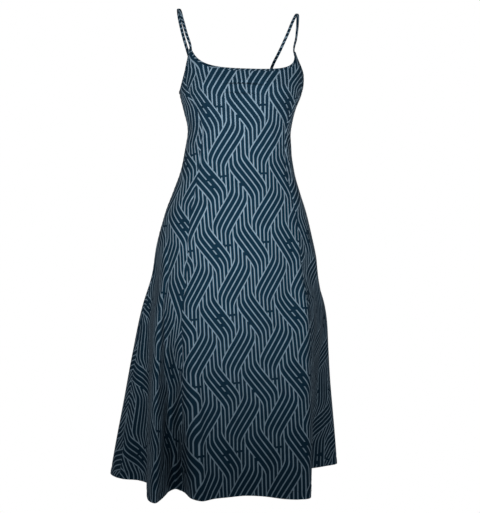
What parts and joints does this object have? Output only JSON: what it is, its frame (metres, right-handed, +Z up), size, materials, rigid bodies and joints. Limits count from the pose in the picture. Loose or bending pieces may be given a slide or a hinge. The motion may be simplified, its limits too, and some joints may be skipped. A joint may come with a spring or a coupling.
{
  "type": "sundress",
  "caption": "Sleeveless midi sundress with narrow shoulder straps, a scooped neckline, princess seams and a flared skirt hanging in folds, hollow as it is when worn.",
  "frame": {"origin": "midway between the tops of the two shoulder straps, at the height where they rest on the shoulders", "axes": "+Z up, out of the shoulders that carry the dress; -Y towards the front of the dress; +X to the right of someone who looks at its front"},
  "size_m": [0.6014, 0.5451, 1.1628],
  "materials": {
    "cotton_print": "matte plain-weave cotton, printed with pale waved stripes",
    "cotton_binding": "matte bias strips of the same cotton"
  },
  "bodies": {
    "root": {"panel_front_centre": "cotton_print", "panel_front_side_left": "cotton_print", "panel_front_side_right": "cotton_print", "panel_back_centre": "cotton_print", "panel_back_side_left": "cotton_print", "panel_back_side_right": "cotton_print", "binding_neck_front": "cotton_binding", "binding_neck_back": "cotton_binding", "binding_armhole_left": "cotton_binding", "binding_armhole_right": "cotton_binding", "strap_left": "cotton_binding", "strap_right": "cotton_binding"}
  },
  "joints": []
}
